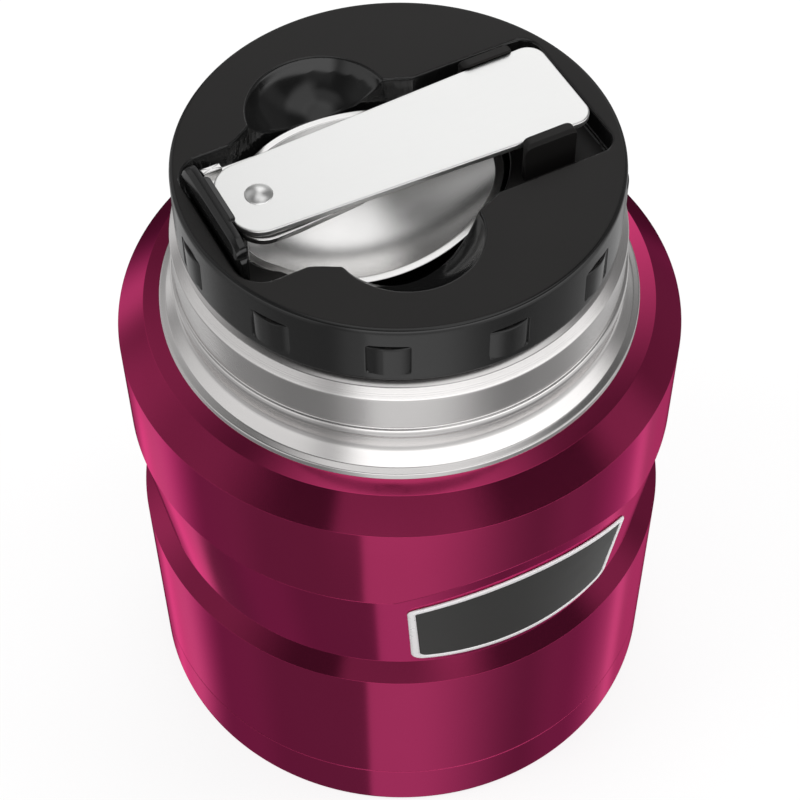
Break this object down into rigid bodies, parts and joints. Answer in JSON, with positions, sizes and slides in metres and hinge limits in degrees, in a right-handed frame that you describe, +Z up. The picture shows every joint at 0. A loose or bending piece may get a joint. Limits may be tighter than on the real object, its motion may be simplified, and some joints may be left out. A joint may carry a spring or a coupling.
{
  "type": "insulated food jar with folding spoon",
  "caption": "Double-walled steel food jar with a bare steel neck, a black screw stopper and a folding spoon held in the stopper's pocket.",
  "frame": {"origin": "centre of the base, on the surface that the jar stands on", "axes": "+Z up along the jar's axis, the badge faces -Y, the folded spoon lies along X with its rivet towards -X"},
  "size_m": [0.094, 0.094, 0.1272],
  "materials": {
    "body_paint": "glossy magenta paint",
    "bare_steel": "turned, satin",
    "foil": "bright foil",
    "solder": "dull",
    "getter_grey": "sintered",
    "bright_trim": "bright",
    "panel_grey": "satin",
    "adhesive": "matt",
    "black_plastic": "fine satin",
    "foam": "closed-cell foam",
    "silicone": "smooth",
    "spoon_steel": "polished, fine brushed"
  },
  "bodies": {
    "jar": {"outer_shell": "body_paint", "base_cap": "body_paint", "neck_collar": "bare_steel", "inner_liner": "bare_steel", "foil_shield": "foil", "vacuum_pan": "bare_steel", "vent_seal": "solder", "getter": "getter_grey", "getter_cup": "bare_steel", "badge_frame": "bright_trim", "badge_panel": "panel_grey", "badge_adhesive": "adhesive"},
    "gasket": {"stopper_gasket": "silicone"},
    "stopper": {"stopper_cover": "black_plastic", "stopper_plug": "black_plastic", "stopper_foam": "foam"},
    "spoon": {"spoon_bowl": "spoon_steel"},
    "handle": {"spoon_handle": "spoon_steel", "spoon_rivet": "spoon_steel", "rivet_washer": "spoon_steel"}
  },
  "joints": [
    {"name": "stopper_rise", "type": "slide", "parent": "jar", "child": "gasket", "axis": [0, 0, 1], "range_m": [0, 0.0024]},
    {"name": "stopper_turn", "type": "hinge", "parent": "gasket", "child": "stopper", "pos_m": [0, 0, 0.1], "axis": [0, 0, 1], "range_deg": [0, 270.01]},
    {"name": "spoon_lift", "type": "slide", "parent": "stopper", "child": "spoon", "axis": [0, 0, 1], "range_m": [0, 0.045]},
    {"name": "handle_swivel", "type": "hinge", "parent": "spoon", "child": "handle", "pos_m": [-0.0235, 0, 0.1256], "axis": [0, 0, -1], "range_deg": [0, 180]}
  ],
  "couplings": [
    {"joint": "stopper_turn", "follows": "stopper_rise", "rad_per_m": 1963.5}
  ]
}
